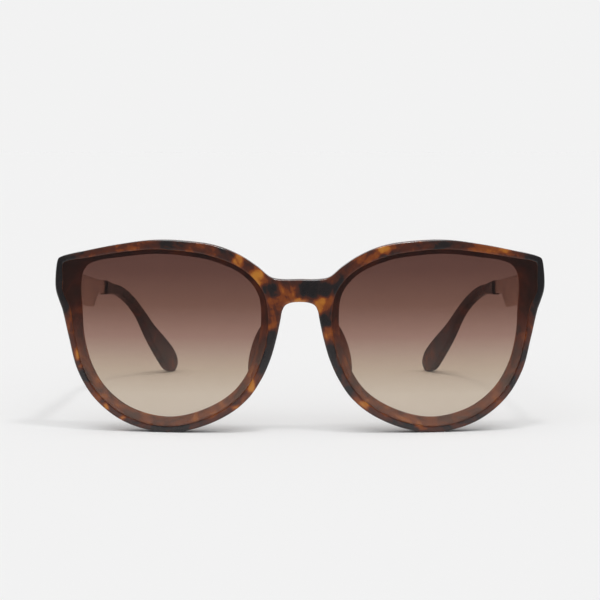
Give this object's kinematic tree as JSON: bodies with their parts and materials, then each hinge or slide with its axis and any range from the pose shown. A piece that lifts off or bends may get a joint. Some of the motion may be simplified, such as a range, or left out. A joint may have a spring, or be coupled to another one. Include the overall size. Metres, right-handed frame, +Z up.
{
  "type": "cat eye sunglasses",
  "caption": "Cat eye sunglasses with a tortoise acetate front, inlaid gradient lenses and folding stepped metal temples that end in acetate tips.",
  "frame": {"origin": "on the surface that the open glasses stand on, under the middle of their bounding box", "axes": "+X towards the wearer's left, +Y from the front towards the temple tips, +Z up; the front faces -Y"},
  "size_m": [0.1466, 0.1414, 0.0575],
  "materials": {
    "tortoise_acetate": "polished acetate, mottled from amber to near black",
    "dark_acetate": "polished dark acetate",
    "gradient_lens": "polished, brown above fading to pale beige below",
    "rose_gold_metal": "polished pale rose gold",
    "hinge_metal": "polished"
  },
  "bodies": {
    "front": {"front_frame": "tortoise_acetate", "left_lens": "gradient_lens", "right_lens": "gradient_lens", "left_nose_pad": "tortoise_acetate", "right_nose_pad": "tortoise_acetate", "left_front_hinge": "hinge_metal", "right_front_hinge": "hinge_metal", "left_hinge_screw": "hinge_metal", "right_hinge_screw": "hinge_metal"},
    "left_temple": {"left_temple_hinge": "hinge_metal", "left_temple_arm": "rose_gold_metal", "left_temple_tip": "dark_acetate"},
    "right_temple": {"right_temple_hinge": "hinge_metal", "right_temple_arm": "rose_gold_metal", "right_temple_tip": "dark_acetate"}
  },
  "joints": [
    {"name": "left_temple_fold", "type": "hinge", "parent": "front", "child": "left_temple", "pos_m": [0.06717, -0.05591, 0.04265], "axis": [0, 0, 1], "range_deg": [0, 80]},
    {"name": "right_temple_fold", "type": "hinge", "parent": "front", "child": "right_temple", "pos_m": [-0.06717, -0.05591, 0.04265], "axis": [0, 0, -1], "range_deg": [0, 72]}
  ]
}
